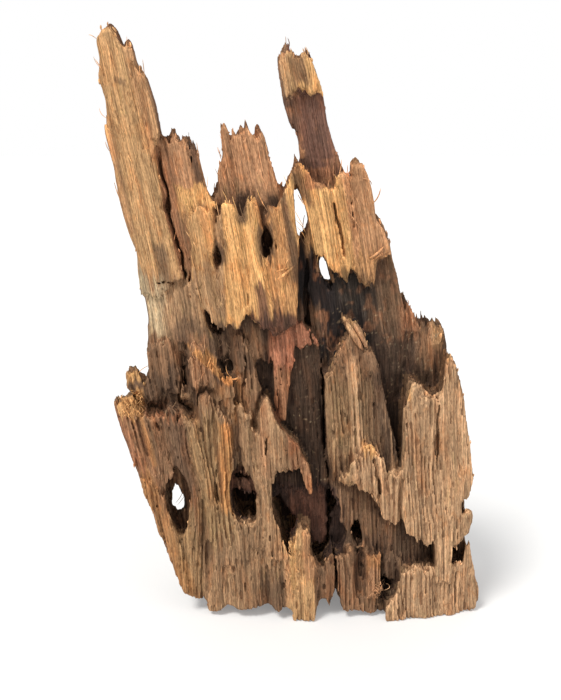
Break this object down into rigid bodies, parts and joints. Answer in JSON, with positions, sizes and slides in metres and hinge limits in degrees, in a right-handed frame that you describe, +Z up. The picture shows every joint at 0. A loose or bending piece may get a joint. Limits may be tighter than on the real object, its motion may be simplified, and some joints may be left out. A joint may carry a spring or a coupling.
{
  "type": "piece of driftwood",
  "caption": "Standing slab of weathered driftwood, layered and ribbed along the grain, with torn edges, rot holes and tall slanting spires.",
  "frame": {"origin": "middle of the base, on the surface it stands on", "axes": "+Z up along the grain and the longest extent, +X to the right and +Y away from the viewer who faces the layered front"},
  "size_m": [0.1418, 0.0542, 0.218],
  "materials": {
    "weathered_wood": "rough, bare and weathered"
  },
  "bodies": {
    "root": {"driftwood": "weathered_wood"}
  },
  "joints": []
}
